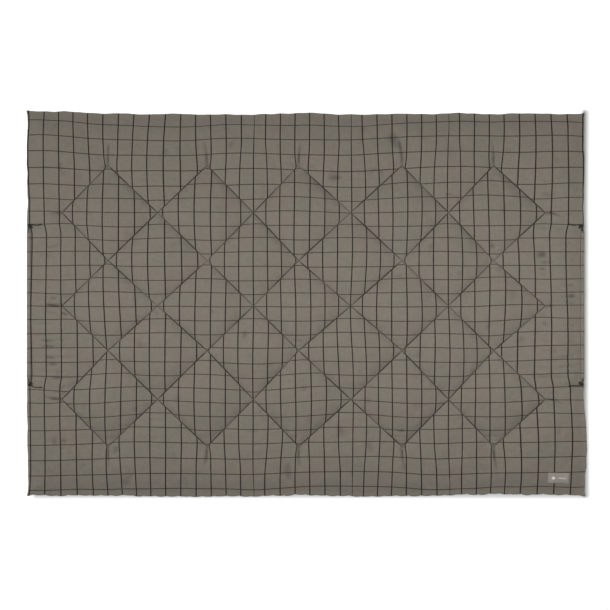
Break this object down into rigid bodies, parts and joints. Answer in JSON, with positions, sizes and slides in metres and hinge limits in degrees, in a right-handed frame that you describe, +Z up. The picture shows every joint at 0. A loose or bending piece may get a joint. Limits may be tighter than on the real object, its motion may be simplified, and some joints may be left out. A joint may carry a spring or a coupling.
{
  "type": "camp blanket",
  "caption": "Rectangular quilted camp blanket with a windowpane-checked face, diamond stitching, a label, and a drawcord with sprung cord locks in each short side.",
  "frame": {"origin": "on the ground under the middle of the blanket", "axes": "+X along the long side, towards the side with the label; +Y along the short side, away from the label; +Z up, out of the checked face"},
  "size_m": [2, 1.38, 0.036],
  "materials": {
    "checked_cloth": "matt taupe plain weave with a black windowpane check",
    "batting": "soft polyester fill",
    "lining": "matt dark plain weave",
    "thread": "dark polyester sewing thread",
    "elastic_cord": "black braid over elastic",
    "black_plastic": "moulded, fine matt texture",
    "spring_steel": "drawn wire",
    "woven_label": "satin-woven taupe ribbon, no lettering"
  },
  "bodies": {
    "blanket": {"face_cloth": "checked_cloth", "fill_batting": "batting", "back_cloth": "lining", "quilting_rising_1": "thread", "quilting_rising_2": "thread", "quilting_rising_3": "thread", "quilting_rising_4": "thread", "quilting_rising_5": "thread", "quilting_rising_6": "thread", "quilting_rising_7": "thread", "quilting_rising_8": "thread", "quilting_falling_1": "thread", "quilting_falling_2": "thread", "quilting_falling_3": "thread", "quilting_falling_4": "thread", "quilting_falling_5": "thread", "quilting_falling_6": "thread", "quilting_falling_7": "thread", "quilting_falling_8": "thread", "drawcord_tunnel_right": "checked_cloth", "drawcord_right": "elastic_cord", "drawcord_tunnel_left": "checked_cloth", "drawcord_left": "elastic_cord", "tunnel_tack_right_top": "thread", "cord_tail_right_top": "elastic_cord", "cord_knot_right_top": "elastic_cord", "tunnel_tack_right_bottom": "thread", "cord_tail_right_bottom": "elastic_cord", "cord_knot_right_bottom": "elastic_cord", "tunnel_tack_left_top": "thread", "cord_tail_left_top": "elastic_cord", "cord_knot_left_top": "elastic_cord", "tunnel_tack_left_bottom": "thread", "cord_tail_left_bottom": "elastic_cord", "cord_knot_left_bottom": "elastic_cord", "woven_label": "woven_label", "label_stitching": "thread"},
    "lock_right_top": {"lock_barrel_right_top": "black_plastic", "lock_spring_right_top": "spring_steel"},
    "button_right_top": {"lock_button_right_top": "black_plastic"},
    "lock_right_bottom": {"lock_barrel_right_bottom": "black_plastic", "lock_spring_right_bottom": "spring_steel"},
    "button_right_bottom": {"lock_button_right_bottom": "black_plastic"},
    "lock_left_top": {"lock_barrel_left_top": "black_plastic", "lock_spring_left_top": "spring_steel"},
    "button_left_top": {"lock_button_left_top": "black_plastic"},
    "lock_left_bottom": {"lock_barrel_left_bottom": "black_plastic", "lock_spring_left_bottom": "spring_steel"},
    "button_left_bottom": {"lock_button_left_bottom": "black_plastic"}
  },
  "joints": [
    {"name": "lock_slide_right_top", "type": "slide", "parent": "blanket", "child": "lock_right_top", "axis": [-0.5736, 0.8192, 0], "range_m": [-0.003, 0]},
    {"name": "button_press_right_top", "type": "slide", "parent": "lock_right_top", "child": "button_right_top", "axis": [-0.8192, -0.5736, 0], "range_m": [-0.002, 0], "stiffness_N_per_m": 1500, "springref_m": 0.0025, "deforming": ["lock_spring_right_top"]},
    {"name": "lock_slide_right_bottom", "type": "slide", "parent": "blanket", "child": "lock_right_bottom", "axis": [-0.5736, -0.8192, 0], "range_m": [-0.003, 0]},
    {"name": "button_press_right_bottom", "type": "slide", "parent": "lock_right_bottom", "child": "button_right_bottom", "axis": [-0.8192, 0.5736, 0], "range_m": [-0.002, 0], "stiffness_N_per_m": 1500, "springref_m": 0.0025, "deforming": ["lock_spring_right_bottom"]},
    {"name": "lock_slide_left_top", "type": "slide", "parent": "blanket", "child": "lock_left_top", "axis": [0.5736, 0.8192, 0], "range_m": [-0.003, 0]},
    {"name": "button_press_left_top", "type": "slide", "parent": "lock_left_top", "child": "button_left_top", "axis": [0.8192, -0.5736, 0], "range_m": [-0.002, 0], "stiffness_N_per_m": 1500, "springref_m": 0.0025, "deforming": ["lock_spring_left_top"]},
    {"name": "lock_slide_left_bottom", "type": "slide", "parent": "blanket", "child": "lock_left_bottom", "axis": [0.5736, -0.8192, 0], "range_m": [-0.003, 0]},
    {"name": "button_press_left_bottom", "type": "slide", "parent": "lock_left_bottom", "child": "button_left_bottom", "axis": [0.8192, 0.5736, 0], "range_m": [-0.002, 0], "stiffness_N_per_m": 1500, "springref_m": 0.0025, "deforming": ["lock_spring_left_bottom"]}
  ]
}
